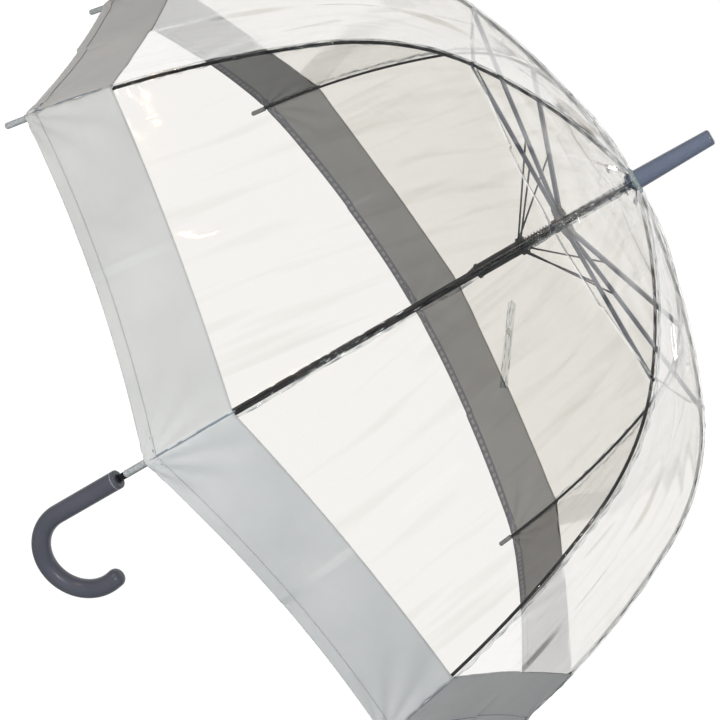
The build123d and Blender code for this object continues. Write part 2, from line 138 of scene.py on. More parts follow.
# a Mix node takes its two colours at sockets 6 and 7 and gives the blend at its output 2
shade.inputs[6].default_value = paint("#4d505b")
shade.inputs[7].default_value = paint("#5d606c")
relief = add(
    slate_abs, "ShaderNodeBump", {"Strength": 0.06, "Distance": 0.0003}, {"Height": (peel, "Fac")}
)
surface = add(
    slate_abs,
    "ShaderNodeBsdfPrincipled",
    {"Roughness": 0.3, "IOR": 1.54},
    {"Normal": (relief, "Normal")},
)
slate_abs.node_tree.links.new(shade.outputs[2], surface.inputs["Base Color"])
add(slate_abs, "ShaderNodeOutputMaterial", {}, {"Surface": (surface, "BSDF")})
dress(nodes["handle"], slate_abs)

ring_low, ring_high = 0.0402, 0.0418
groove_radius, ring_radius = 0.0101, 0.0107
bpy.ops.mesh.primitive_cylinder_add(
    vertices=96, radius=ring_radius, depth=ring_high - ring_low, end_fill_type="NOTHING",
    location=(0, 0, (ring_low + ring_high) / 2),
)
handle_ring = bpy.context.object
handle_ring.name = "handle_ring"
bpy.ops.object.transform_apply(location=True, rotation=True, scale=True)
thicken = handle_ring.modifiers.new("wall", "SOLIDIFY")
thicken.thickness = ring_radius - groove_radius
thicken.offset = -1
bpy.ops.object.modifier_apply(modifier="wall")
soften = handle_ring.modifiers.new("edge", "BEVEL")
soften.width = 0.0002
soften.segments = 2
bpy.ops.object.modifier_apply(modifier="edge")
bpy.ops.object.shade_smooth_by_angle(angle=math.radians(40))
pale_abs = start_material("moulded_pale_abs")
surface = add(
    pale_abs, "ShaderNodeBsdfPrincipled", {"Base Color": paint("#8d9099"), "Roughness": 0.25, "IOR": 1.54}
)
place = add(pale_abs, "ShaderNodeTexCoord")
peel = add(pale_abs, "ShaderNodeTexNoise", {"Scale": 900.0}, {"Vector": (place, "Object")})
relief = add(
    pale_abs, "ShaderNodeBump", {"Strength": 0.05, "Distance": 0.0003}, {"Height": (peel, "Fac")}
)
pale_abs.node_tree.links.new(relief.outputs["Normal"], surface.inputs["Normal"])
add(pale_abs, "ShaderNodeOutputMaterial", {}, {"Surface": (surface, "BSDF")})
dress(handle_ring, pale_abs)
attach(handle_ring, "shaft")

# ---- ferrule ----
# The tapered tube over the shaft's top, of the handle's plastic in a bluer batch,
# polished smoother than the handle.
ferrule_abs = start_material("polished_slate_abs")
place = add(ferrule_abs, "ShaderNodeTexCoord")
drift = add(ferrule_abs, "ShaderNodeTexNoise", {"Scale": 60.0}, {"Vector": (place, "Object")})
relief = add(
    ferrule_abs, "ShaderNodeBump", {"Strength": 0.05, "Distance": 0.0003}, {"Height": (drift, "Fac")}
)
surface = add(
    ferrule_abs,
    "ShaderNodeBsdfPrincipled",
    {"Base Color": paint("#667083"), "Roughness": 0.12, "IOR": 1.54},
    {"Normal": (relief, "Normal")},
)
add(ferrule_abs, "ShaderNodeOutputMaterial", {}, {"Surface": (surface, "BSDF")})
dress(nodes["ferrule"], ferrule_abs)

# ---- shaft and ribs ----
# Steel tube and steel wire under baked black enamel, which pools a little unevenly.
# The ends of the outer ribs carry push-on caps of milky grey plastic.
enamel = start_material("baked_black_enamel")
place = add(enamel, "ShaderNodeTexCoord")
pooling = add(
    enamel, "ShaderNodeTexNoise", {"Scale": 260.0, "Detail": 3.0}, {"Vector": (place, "Object")}
)
relief = add(
    enamel, "ShaderNodeBump", {"Strength": 0.12, "Distance": 0.0002}, {"Height": (pooling, "Fac")}
)
surface = add(
    enamel,
    "ShaderNodeBsdfPrincipled",
    {"Base Color": paint("#100e15"), "Roughness": 0.16, "IOR": 1.5},
    {"Normal": (relief, "Normal")},
)
add(enamel, "ShaderNodeOutputMaterial", {}, {"Surface": (surface, "BSDF")})
dress(nodes["shaft"], enamel)

sector_count = 8
half_sector = math.pi / sector_count
first_rib_azimuth = math.radians(-100)
rib_arcs = [
    (0.2165, math.radians(3.2), math.radians(23.5)),
    (0.1356, math.radians(23.5), math.radians(58.1)),
    (0.2496, math.radians(58.1), math.radians(75.5)),
]
inner_rib_length = rib_arcs[0][0]
rib_length = sum(length for length, start, end in rib_arcs)
hinge = next(joint for joint in frame["joints"] if joint["name"] == "inner_rib_0_hinge")
rib_root = (math.hypot(hinge["pos_m"][0], hinge["pos_m"][1]), hinge["pos_m"][2])


def rib_place(distance):
    """Radius, height and slope below level at a distance along a rib from its hinge."""
    radius, height = rib_root
    for length, start, end in rib_arcs:
        step = distance if (length, start, end) == rib_arcs[-1] else min(distance, length)
        bend = length / (end - start)
        slope = start + (end - start) * step / length
        radius += bend * (math.sin(slope) - math.sin(start))
        height += bend * (math.cos(slope) - math.cos(start))
        distance -= step
        if distance <= 0:
            break
    return radius, height, slope


# the caps begin just above the rim, and all of a rib below that height is cap
cap_start = rib_place(rib_length)[1] + 0.0004
rib_finish = start_material("black_enamel_with_milky_caps")
place = add(rib_finish, "ShaderNodeTexCoord")
axes = add(rib_finish, "ShaderNodeSeparateXYZ", {}, {"Vector": (place, "Object")})
below = add(rib_finish, "ShaderNodeMath", {"operation": "LESS_THAN"}, {0: (axes, "Z")})
below.inputs[1].default_value = cap_start
streaks = add(
    rib_finish, "ShaderNodeTexNoise", {"Scale": 420.0, "Detail": 3.0}, {"Vector": (place, "Object")}
)
milk = add(rib_finish, "ShaderNodeMix", {"data_type": "RGBA"}, {"Factor": (streaks, "Fac")})
milk.inputs[6].default_value = paint("#6c7276")
milk.inputs[7].default_value = paint("#b4babc")
colour_and_painted_shade = add(rib_finish, "ShaderNodeMix", {"data_type": "RGBA"}, {"Factor": (below, "Value")})
colour_and_painted_shade.inputs[6].default_value = paint("#121017")
rib_finish.node_tree.links.new(milk.outputs[2], colour_and_painted_shade.inputs[7])
relief = add(
    rib_finish, "ShaderNodeBump", {"Strength": 0.1, "Distance": 0.0002}, {"Height": (streaks, "Fac")}
)
surface = add(
    rib_finish,
    "ShaderNodeBsdfPrincipled",
    {"Roughness": 0.17, "IOR": 1.5},
    {"Normal": (relief, "Normal")},
)
rib_finish.node_tree.links.new(colour_and_painted_shade.outputs[2], surface.inputs["Base Color"])
add(rib_finish, "ShaderNodeOutputMaterial", {}, {"Surface": (surface, "BSDF")})
for sector in range(sector_count):
    dress(nodes[f"inner_rib_{sector}"], enamel)
    dress(nodes[f"outer_rib_{sector}"], rib_finish)

# ---- stretchers and struts ----
# Pressed steel channels and drawn wire in a thin blue-grey lacquer.
# The lacquer is worn in patches.
lacquer = start_material("lacquered_steel")
place = add(lacquer, "ShaderNodeTexCoord")
wear = add(
    lacquer, "ShaderNodeTexNoise", {"Scale": 120.0, "Detail": 4.0}, {"Vector": (place, "Object")}
)
tone = add(lacquer, "ShaderNodeMix", {"data_type": "RGBA"}, {"Factor": (wear, "Fac")})
tone.inputs[6].default_value = paint("#3c4357")
tone.inputs[7].default_value = paint("#69728a")
relief = add(
    lacquer, "ShaderNodeBump", {"Strength": 0.15, "Distance": 0.0002}, {"Height": (wear, "Fac")}
)
surface = add(
    lacquer,
    "ShaderNodeBsdfPrincipled",
    {"Roughness": 0.38, "Metallic": 0.55},
    {"Normal": (relief, "Normal")},
)
lacquer.node_tree.links.new(tone.outputs[2], surface.inputs["Base Color"])
add(lacquer, "ShaderNodeOutputMaterial", {}, {"Surface": (surface, "BSDF")})
dark_wire = start_material("blackened_wire")
place = add(dark_wire, "ShaderNodeTexCoord")
wear = add(dark_wire, "ShaderNodeTexNoise", {"Scale": 300.0}, {"Vector": (place, "Object")})
relief = add(
    dark_wire, "ShaderNodeBump", {"Strength": 0.1, "Distance": 0.0002}, {"Height": (wear, "Fac")}
)
surface = add(
    dark_wire,
    "ShaderNodeBsdfPrincipled",
    {"Base Color": paint("#2c2f39"), "Roughness": 0.35, "Metallic": 0.5},
    {"Normal": (relief, "Normal")},
)
add(dark_wire, "ShaderNodeOutputMaterial", {}, {"Surface": (surface, "BSDF")})
for sector in range(sector_count):
    dress(nodes[f"stretcher_{sector}"], lacquer)
    dress(nodes[f"strut_{sector}"], dark_wire)

# ---- notch, hub, runner and collar ----
# Moulded black nylon, with the satin of a spark-eroded mould.
# Below them the catches and the coil spring are bare spring steel.
nylon = start_material("moulded_black_nylon")
place = add(nylon, "ShaderNodeTexCoord")
grain = add(
    nylon, "ShaderNodeTexNoise", {"Scale": 1400.0, "Detail": 2.0}, {"Vector": (place, "Object")}
)
relief = add(
    nylon, "ShaderNodeBump", {"Strength": 0.2, "Distance": 0.0002}, {"Height": (grain, "Fac")}
)
surface = add(
    nylon,
    "ShaderNodeBsdfPrincipled",
    {"Base Color": paint("#1b1b1f"), "Roughness": 0.42, "IOR": 1.53},
    {"Normal": (relief, "Normal")},
)
add(nylon, "ShaderNodeOutputMaterial", {}, {"Surface": (surface, "BSDF")})
for name in ("top_notch", "upper_hub", "runner", "handle_collar"):
    dress(nodes[name], nylon)
spring_steel = start_material("bare_spring_steel")
place = add(spring_steel, "ShaderNodeTexCoord")
draw = add(spring_steel, "ShaderNodeTexNoise", {"Scale": 500.0}, {"Vector": (place, "Object")})
relief = add(
    spring_steel, "ShaderNodeBump", {"Strength": 0.1, "Distance": 0.0002}, {"Height": (draw, "Fac")}
)
surface = add(
    spring_steel,
    "ShaderNodeBsdfPrincipled",
    {"Base Color": paint("#9a9ca0"), "Roughness": 0.3, "Metallic": 1.0},
    {"Normal": (relief, "Normal")},
)
add(spring_steel, "ShaderNodeOutputMaterial", {}, {"Surface": (surface, "BSDF")})
for name in ("open_catch", "closed_catch"):
    dress(nodes[name], spring_steel)

# The coil is wound from 1.1 mm wire. The real coil closes up under the hub as the frame shuts; here it
# keeps its open length and rides with the hub.
low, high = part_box("spring")
spring_turns, steps_per_turn, wire_radius, shut_spring_share = 9, 28, 0.00055, 0.44
coil_radius = high.x - wire_radius
steps = steps_per_turn * spring_turns
coil = bpy.data.curves.new("spring_coil", "CURVE")
coil.dimensions = "3D"
coil.bevel_depth = wire_radius
coil.bevel_resolution = 3
line = coil.splines.new("POLY")
line.points.add(steps)
for step in range(steps + 1):
    turn = 2 * math.pi * spring_turns * step / steps
    height = low.z + wire_radius + (high.z - low.z - 2 * wire_radius) * step / steps
    line.points[step].co = (coil_radius * math.cos(turn), coil_radius * math.sin(turn), height, 1)
coil.use_fill_caps = True
spring_coil = bpy.data.objects.new("spring_coil", coil)
bpy.context.scene.collection.objects.link(spring_coil)
bpy.ops.object.select_all(action="DESELECT")
spring_coil.select_set(True)
bpy.context.view_layer.objects.active = spring_coil
bpy.ops.object.convert(target="MESH")
spring_coil = bpy.context.object
bpy.ops.object.shade_smooth()
dress(spring_coil, spring_steel)
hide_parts("spring")
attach(spring_coil, "upper_hub")
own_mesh(spring_coil)

# ---- clear gores ----
# Eight gores of clear PVC film, stretched between the ribs. The film puckers beside its
# welded seams, keeps the crease it was folded on and sags a little inside each span.
def gore_half_width(along):
    """Half the chord between two neighbouring ribs, at a distance along them."""
    return rib_place(along)[0] * math.sin(half_sector)


def gore_azimuth(sector):
    """Which way the middle of a gore faces."""
    return first_rib_azimuth - (sector + 0.5) * 2 * half_sector


# how steeply the mirrored share of light rises towards a grazing angle
grazing_power = 3.5


def grazing_share(material, least, most):
    """The share of light that a film mirrors: least face on, rising to most at a grazing angle."""
    edge = add(material, "ShaderNodeLayerWeight", {"Blend": 0.5})
    steep = add(material, "ShaderNodeMath", {"operation": "POWER"}, {0: (edge, "Facing")})
    steep.inputs[1].default_value = grazing_power
    limits = {"To Min": least, "To Max": most}
    return add(material, "ShaderNodeMapRange", limits, {"Value": (steep, "Value")})


def finish_film(material, relief, tone, roughness, least, most):
    """Ends a clear film: it lets light through, tinted by tone, and mirrors a share of it."""
    through = add(material, "ShaderNodeBsdfTransparent")
    material.node_tree.links.new(tone.outputs[2], through.inputs["Color"])
    mirror = add(
        material,
        "ShaderNodeBsdfPrincipled",
        {"Base Color": paint("#ffffff"), "Metallic": 1.0, "Roughness": roughness},
        {"Normal": (relief, "Normal")},
    )
    share = grazing_share(material, least, most)
    sides = {0: (share, "Result"), 1: (through, "BSDF"), 2: (mirror, "BSDF")}
    film = add(material, "ShaderNodeMixShader", {}, sides)
    add(material, "ShaderNodeOutputMaterial", {}, {"Surface": (film, "Shader")})
    return share


def tint(material, pattern, clear, streak, start, end):
    """A see-through tint that goes from clear to streak as the pattern rises from start to end."""
    rise = {"From Min": start, "From Max": end}
    amount = add(material, "ShaderNodeMapRange", rise, {"Value": pattern})
    tone = add(material, "ShaderNodeMix", {"data_type": "RGBA"}, {"Factor": (amount, "Result")})
    tone.inputs[6].default_value = paint(clear)
    tone.inputs[7].default_value = paint(streak)
    return tone


clear_pvc = start_material("clear_pvc_film")
place = add(clear_pvc, "ShaderNodeUVMap")
stretch = add(
    clear_pvc, "ShaderNodeMapping", {"Scale": (26.0, 4.0, 1.0)}, {"Vector": (place, "UV")}
)
ripple = add(
    clear_pvc, "ShaderNodeTexNoise", {"Scale": 3.0, "Detail": 4.0}, {"Vector": (stretch, "Vector")}
)
relief = add(
    clear_pvc, "ShaderNodeBump", {"Strength": 0.22, "Distance": 0.0012}, {"Height": (ripple, "Fac")}
)
# the darker streaks along the gores are painted shade, standing in for the shading of the film's soft
# undulations
streaks = add(
    clear_pvc, "ShaderNodeMapping", {"Scale": (60.0, 5.0, 1.0)}, {"Vector": (place, "UV")}
)
painted_fold_shade = add(
    clear_pvc, "ShaderNodeTexNoise", {"Scale": 1.0, "Detail": 2.0}, {"Vector": (streaks, "Vector")}
)
tone = tint(clear_pvc, (painted_fold_shade, "Fac"), "#faf9f7", "#f4f3f0", 0.52, 0.78)
share = finish_film(clear_pvc, relief, tone, roughness=0.05, least=0.05, most=1.0)
# drawn tight over a rib, the film turns with it and mirrors hardly anything
film_over_rib_share, film_over_rib_edge = 0.1, 0.965
film_over_rib = clear_pvc.copy()
film_over_rib.name = "clear_pvc_film_over_rib"
film_over_rib.node_tree.nodes[share.name].inputs["To Max"].default_value = film_over_rib_share

film_lift = 0.0022
film_thickness = 0.0003
outer_face = film_lift + film_thickness
film_start = -0.001
film_sag = 0.0045
band_width = 0.076
band_lap = 0.002
clear_end = rib_length - band_width
rim_hollow = 0.009
band_hollow = 0.004
# the film's small forms: how high each stands, how long its waves are, how far it reaches
pucker_height, pucker_wave, pucker_reach = 0.0005, 0.0027, 0.009
drag_height, drag_wave, drag_reach, drag_lean = 0.0011, 0.0075, 0.035, 0.7
sweep_height, sweep_wave = 0.0012, 0.027
crease_height, crease_reach = 0.0004, 0.0025
corner_height, corner_folds, corner_reach, corner_start = 0.0016, 14, 0.045, 0.01
calm_at_crown = 0.05


def gore_place(sector, along, across, lift):
    """A point on a gore: its distance along the rib, -1 to 1 from rib to rib, and its lift."""
    radius, height, slope = rib_place(along)
    edge_distance = (1 - abs(across)) * radius * math.sin(half_sector)
    middle_distance = abs(across) * radius * math.sin(half_sector)
    phase = 1.7 * sector + (0.8 if across > 0 else 0)
    sag = film_sag * math.sin(math.pi * min(max(along / rib_length, 0), 1)) * (1 - across**2)
    pucker = pucker_height * math.sin(along / pucker_wave + phase)
    pucker *= math.exp(-edge_distance / pucker_reach)
    drag = drag_height * math.sin((along + drag_lean * edge_distance) / drag_wave + 2 * phase)
    drag *= math.exp(-edge_distance / drag_reach)
    sweep = sweep_height * math.sin(along / sweep_wave + 3 * phase) * (1 - across**2)
    crease = crease_height * math.exp(-middle_distance / crease_reach)
    settle = min(max(along / calm_at_crown, 0), 1)
    out = lift - sag + settle * (pucker + drag * (1 - 0.5 * abs(across)) + sweep + crease)
    corner = math.hypot(rib_length - along, edge_distance)
    spoke = math.atan2(edge_distance, rib_length - along + 0.001)
    fold = corner_height * math.sin(corner_folds * spoke + phase)
    out += fold * math.exp(-corner / corner_reach) * min(corner / corner_start, 1)
    radius += out * math.sin(slope)
    height += out * math.cos(slope)
    x = radius * math.cos(half_sector)
    y = across * radius * math.sin(half_sector)
    turn = gore_azimuth(sector)
    return (
        x * math.cos(turn) - y * math.sin(turn),
        x * math.sin(turn) + y * math.cos(turn),
        height,
    )


def lay_sheet(name, columns, rows, where, thickness, offset=1):
    """A grid laid as a sheet: where() gives each vertex its place and its flat place in metres."""
    bpy.ops.object.select_all(action="DESELECT")
    bpy.ops.mesh.primitive_grid_add(x_subdivisions=columns, y_subdivisions=rows, size=2)
    sheet = bpy.context.object
    sheet.name = name
    flat = []
    for vertex in sheet.data.vertices:
        point, cloth = where(vertex.co.x, (1 - vertex.co.y) / 2)
        vertex.co = point
        flat.append(cloth)
    for loop in sheet.data.loops:
        sheet.data.uv_layers.active.data[loop.index].uv = flat[loop.vertex_index]
    bpy.ops.object.mode_set(mode="EDIT")
    bpy.ops.mesh.select_all(action="SELECT")
    bpy.ops.mesh.normals_make_consistent(inside=False)
    bpy.ops.object.mode_set(mode="OBJECT")
    if sum(polygon.center.dot(polygon.normal) for polygon in sheet.data.polygons) < 0:
        sheet.data.flip_normals()
    wall = sheet.modifiers.new("wall", "SOLIDIFY")
    wall.thickness = thickness
    wall.offset = offset
    bpy.ops.object.modifier_apply(modifier="wall")
    bpy.ops.object.shade_smooth()
    return sheet


def line_inside(piece, material):
    """Gives the faces of a sheet that look in at the shaft a second material."""
    piece.data.materials.append(material)
    for polygon in piece.data.polygons:
        if polygon.normal.x * polygon.center.x + polygon.normal.y * polygon.center.y < 0:
            polygon.material_index = 1


def flatten_gore(piece):
    """Gives the sheet a mesh of its own, which keeps its open shape."""
    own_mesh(piece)


def gore_area(start, end):
    """Flat area of one gore between two distances along the rib."""
    strips = 40
    cuts = [start + (end - start) * step / strips for step in range(strips + 1)]
    widths = [2 * gore_half_width(along) for along in cuts]
    total = sum((widths[step] + widths[step + 1]) / 2 for step in range(strips))
    return total * (end - start) / strips


for sector in range(sector_count):
    for name, start, end, columns, rows in (
        ("upper", film_start, inner_rib_length, 44, 60),
        ("lower", inner_rib_length, clear_end, 60, 84),
    ):

        def film(across, down, sector=sector, start=start, end=end):
            foot = end
            if end == clear_end:
                foot = end + band_lap - band_hollow * (1 - across**2)
            along = start + (foot - start) * down
            width = gore_half_width(along)
            return gore_place(sector, along, across, film_lift), (across * width, along)

        gore = lay_sheet(f"{name}_film_{sector}", columns, rows, film, film_thickness)
        dress(gore, clear_pvc)
        gore.data.materials.append(film_over_rib)
        for polygon in gore.data.polygons:
            cloth = [gore.data.uv_layers.active.data[loop].uv for loop in polygon.loop_indices]
            aside, along = (sum(place[axis] for place in cloth) / len(cloth) for axis in (0, 1))
            if abs(aside) > film_over_rib_edge * gore_half_width(along):
                polygon.material_index = 1
        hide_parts(f"{name}_gore_{sector}")
        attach(gore, f"{name}_gore_{sector}")
        widest = 2 * gore_half_width(end)
        gore_area(start, end)
        flatten_gore(gore)

# ---- grey band ----
# A band of plain-woven grey polyester sewn round the rim, with a 10 mm turned hem.
# It drags into the corners where thread ties it to the caps.
woven = start_material("woven_grey_polyester")
place = add(woven, "ShaderNodeUVMap")
# real threads lie 0.3 mm apart; here they are 1 mm, so that they show
thread_scale = 0.314 / 0.001
warp = add(
    woven, "ShaderNodeTexWave", {"bands_direction": "X", "Scale": thread_scale}, {"Vector": (place, "UV")}
)
weft = add(
    woven, "ShaderNodeTexWave", {"bands_direction": "Y", "Scale": thread_scale}, {"Vector": (place, "UV")}
)
weave = add(
    woven, "ShaderNodeMath", {"operation": "MULTIPLY"}, {0: (warp, "Fac"), 1: (weft, "Fac")}
)
cloud = add(woven, "ShaderNodeTexNoise", {"Scale": 14.0, "Detail": 5.0}, {"Vector": (place, "UV")})
dye = add(woven, "ShaderNodeMix", {"data_type": "RGBA"}, {"Factor": (cloud, "Fac")})
dye.inputs[6].default_value = paint("#b4b8b9")
dye.inputs[7].default_value = paint("#cdd0d0")
relief = add(
    woven, "ShaderNodeBump", {"Strength": 0.25, "Distance": 0.0003}, {"Height": (weave, "Value")}
)
surface = add(
    woven,
    "ShaderNodeBsdfPrincipled",
    {"Roughness": 0.62, "Sheen Weight": 0.25, "Sheen Roughness": 0.5},
    {"Normal": (relief, "Normal")},
)
woven.node_tree.links.new(dye.outputs[2], surface.inputs["Base Color"])
glow = add(woven, "ShaderNodeBsdfTranslucent")
woven.node_tree.links.new(dye.outputs[2], glow.inputs["Color"])
cloth = add(woven, "ShaderNodeMixShader", {"Fac": 0.1}, {1: (surface, "BSDF"), 2: (glow, "BSDF")})
add(woven, "ShaderNodeOutputMaterial", {}, {"Surface": (cloth, "Shader")})

# the inner face is painted a darker grey, as painted shade for the inside of the canopy; its soft relief
# hides most of the weave
inner_face_shade = start_material("inner_face_painted_shade")
place = add(inner_face_shade, "ShaderNodeUVMap")
cloud = add(
    inner_face_shade, "ShaderNodeTexNoise", {"Scale": 16.0, "Detail": 5.0}, {"Vector": (place, "UV")}
)
colour_and_painted_shade = add(inner_face_shade, "ShaderNodeMix", {"data_type": "RGBA"}, {"Factor": (cloud, "Fac")})
colour_and_painted_shade.inputs[6].default_value = paint("#a0a2a4")
colour_and_painted_shade.inputs[7].default_value = paint("#b2b4b5")
relief = add(
    inner_face_shade, "ShaderNodeBump", {"Strength": 0.2, "Distance": 0.0003}, {"Height": (cloud, "Fac")}
)
surface = add(
    inner_face_shade, "ShaderNodeBsdfPrincipled", {"Roughness": 0.6}, {"Normal": (relief, "Normal")}
)
inner_face_shade.node_tree.links.new(colour_and_painted_shade.outputs[2], surface.inputs["Base Color"])
add(inner_face_shade, "ShaderNodeOutputMaterial", {}, {"Surface": (surface, "BSDF")})

# two layers of cloth let less light through, so the inner face of the turned hem is painted darker still,
# as painted shade
shaded = start_material("turned_hem_painted_shade")
place = add(shaded, "ShaderNodeUVMap")
cloud = add(shaded, "ShaderNodeTexNoise", {"Scale": 40.0, "Detail": 3.0}, {"Vector": (place, "UV")})
colour_and_painted_shade = add(shaded, "ShaderNodeMix", {"data_type": "RGBA"}, {"Factor": (cloud, "Fac")})
colour_and_painted_shade.inputs[6].default_value = paint("#7a7c88")
colour_and_painted_shade.inputs[7].default_value = paint("#8c8f9a")
surface = add(shaded, "ShaderNodeBsdfPrincipled", {"Roughness": 0.6})
shaded.node_tree.links.new(colour_and_painted_shade.outputs[2], surface.inputs["Base Color"])
add(shaded, "ShaderNodeOutputMaterial", {}, {"Surface": (surface, "BSDF")})

# twisted polyester sewing thread, a shade darker than the cloth
thread = start_material("grey_sewing_thread")
place = add(thread, "ShaderNodeUVMap")
twist = add(
    thread, "ShaderNodeTexWave", {"bands_direction": "DIAGONAL", "Scale": 900.0}, {"Vector": (place, "UV")}
)
relief = add(
    thread, "ShaderNodeBump", {"Strength": 0.3, "Distance": 0.0002}, {"Height": (twist, "Fac")}
)
surface = add(
    thread,
    "ShaderNodeBsdfPrincipled",
    {"Base Color": paint("#77818a"), "Roughness": 0.5},
    {"Normal": (relief, "Normal")},
)
add(thread, "ShaderNodeOutputMaterial", {}, {"Surface": (surface, "BSDF")})

cloth_thickness, cloth_gap = 0.0003, 0.0001
hem_width, hem_thickness, hem_gap = 0.010, 0.0014, 0.0005
hem_swell, hem_wrinkle = 0.0004, 0.0001
stitch_pitch, stitch_width, stitch_thickness, stitch_inset = 0.0028, 0.0006, 0.0002, 0.0012
stitch_gap, stitch_height = 0.0004, 0.0006
# the stitches stop just short of the seams
stitched_share = 0.985


def rim_line(across):
    """How far along the ribs the rim lies, which hollows between them."""
    return rib_length - rim_hollow * (1 - across**2)


for sector in range(sector_count):

    def band(across, down, sector=sector):
        top = clear_end - band_hollow * (1 - across**2)
        foot = rim_line(across)
        along = top + (foot - top) * down
        width = gore_half_width(along)
        return gore_place(sector, along, across, outer_face + cloth_gap), (across * width, along)

    def hem(across, down, sector=sector):
        foot = rim_line(across)
        along = foot - hem_width * (1 - down)
        swell = hem_swell * math.sin(math.pi * min(max(down, 0), 1))
        swell += hem_wrinkle * math.sin(across * 190)
        width = gore_half_width(along)
        lift = outer_face + hem_gap + swell
        return gore_place(sector, along, across, lift), (across * width, along)

    def stitches(across, down, sector=sector):
        foot = rim_line(across)
        along = foot - hem_width + stitch_inset + stitch_width * (down - 0.5)
        width = gore_half_width(along)
        bow = abs(math.sin(math.pi * across * width / stitch_pitch))
        lift = outer_face + stitch_gap + stitch_height * math.sqrt(bow)
        return gore_place(sector, along, stitched_share * across, lift), (across * width, along)

    cloth_band = lay_sheet(f"band_{sector}", 96, 26, band, cloth_thickness)
    turned_hem = lay_sheet(f"band_hem_{sector}", 96, 8, hem, hem_thickness, offset=0)
    hem_stitch = lay_sheet(f"hem_stitch_{sector}", 900, 2, stitches, stitch_thickness)
    dress(hem_stitch, thread)
    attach(hem_stitch, f"lower_gore_{sector}")
    flatten_gore(hem_stitch)
    for piece in (cloth_band, turned_hem):
        dress(piece, woven)
        # faces that look in at the shaft take the darker colours of painted shade
        line_inside(piece, inner_face_shade if piece == cloth_band else shaded)
        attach(piece, f"lower_gore_{sector}")
        flatten_gore(piece)
    2 * gore_half_width(rib_length)
    gore_area(clear_end, rib_length - 0.5 * rim_hollow)

# ---- seams along the ribs ----
# Neighbouring gores are welded over each rib, and the flap of the weld lies to one side,
# its free edge waving. Over the band the seam is a ridge of sewing thread.
welded = start_material("welded_pvc_seam")
place = add(welded, "ShaderNodeUVMap")
stretch = add(welded, "ShaderNodeMapping", {"Scale": (420.0, 60.0, 1.0)}, {"Vector": (place, "UV")})
crackle = add(
    welded, "ShaderNodeTexNoise", {"Scale": 1.0, "Detail": 3.0}, {"Vector": (stretch, "Vector")}
)
relief = add(
    welded, "ShaderNodeBump", {"Strength": 0.7, "Distance": 0.0012}, {"Height": (crackle, "Fac")}
)
tone = tint(welded, (crackle, "Fac"), "#f4f5f5", "#c3c6c9", 0.5, 0.68)
finish_film(welded, relief, tone, roughness=0.06, least=0.015, most=0.05)


def seam_place(sector, along, aside, lift):
    """A point on the seam over a rib, aside metres from it."""
    radius, height, slope = rib_place(along)
    radius -= abs(aside) * math.tan(half_sector)
    radius += lift * math.sin(slope)
    height += lift * math.cos(slope)
    turn = first_rib_azimuth - sector * 2 * half_sector
    return (
        radius * math.cos(turn) - aside * math.sin(turn),
        radius * math.sin(turn) + aside * math.cos(turn),
        height,
    )


seam_half_width, seam_offset, seam_thickness, seam_gap = 0.0031, 0.0026, 0.0003, 0.0007
ridge_half_width = 0.0007
seam_start = 0.012
long_wave, short_wave, slow_wave = 0.0131, 0.0057, 0.031
ruffle_wave, ruffle_drift = 0.0036, 0.019
waver = {"inner": 0.05, "outer": 0.14, "sewn": 0.0}
ruffle_height = {"inner": 0.0002, "outer": 0.0008, "sewn": 0.0}
for sector in range(sector_count):
    for name, start, end, rows, material, half_width in (
        ("inner", seam_start, inner_rib_length, 130, welded, seam_half_width),
        ("outer", inner_rib_length, clear_end, 190, welded, seam_half_width),
        ("sewn", clear_end - band_lap, rib_length, 50, thread, ridge_half_width),
    ):

        def seam(side, down, sector=sector, name=name, start=start, end=end, half_width=half_width):
            along = start + (end - start) * down
            phase = 2.3 * sector + (1.1 if side > 0 else 0)
            wander = math.sin(along / long_wave + phase)
            flutter = math.sin(along / short_wave + 2.6 * phase)
            wander += 0.8 * flutter * math.sin(along / slow_wave + phase)
            free = (side + 1) / 2
            offset = 0 if name == "sewn" else seam_offset
            aside = offset + side * half_width * (1 + waver[name] * free * wander)
            beat = along / ruffle_wave + 2 * phase + 2 * math.sin(along / ruffle_drift)
            ruffle = ruffle_height[name] * free**2 * (1 + math.sin(beat))
            lift = outer_face + seam_gap + ruffle
            return seam_place(sector, along, aside, lift), (aside, along)

        strip = lay_sheet(f"{name}_seam_{sector}", 10, rows, seam, seam_thickness)
        dress(strip, material)
        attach(strip, f"inner_rib_{sector}" if name == "inner" else f"outer_rib_{sector}")

# ---- crown ----
# Under the ferrule a clear washer clamps the gathered points of the eight gores.
# The film bulges below it in shallow pleats.
clear_acrylic = start_material("moulded_clear_washer")
place = add(clear_acrylic, "ShaderNodeTexCoord")
flow = add(clear_acrylic, "ShaderNodeTexNoise", {"Scale": 200.0}, {"Vector": (place, "Object")})
relief = add(
    clear_acrylic, "ShaderNodeBump", {"Strength": 0.3, "Distance": 0.0005}, {"Height": (flow, "Fac")}
)
surface = add(
    clear_acrylic,
    "ShaderNodeBsdfPrincipled",
    {"Base Color": paint("#b9c6c8"), "Roughness": 0.06, "IOR": 1.49, "Alpha": 0.66},
    {"Normal": (relief, "Normal")},
)
add(clear_acrylic, "ShaderNodeOutputMaterial", {}, {"Surface": (surface, "BSDF")})
dress(nodes["crown_washer"], clear_acrylic)
washer_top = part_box("crown_washer")[1].z
neck_radius, neck_bulge, neck_flare = 0.0088, 0.0032, 0.0012
neck_gap, neck_drop = 0.0005, 0.0042
pleat_depth, pleat_count = 0.0005, 17
crimp_height, crimp_count = 0.0004, 11


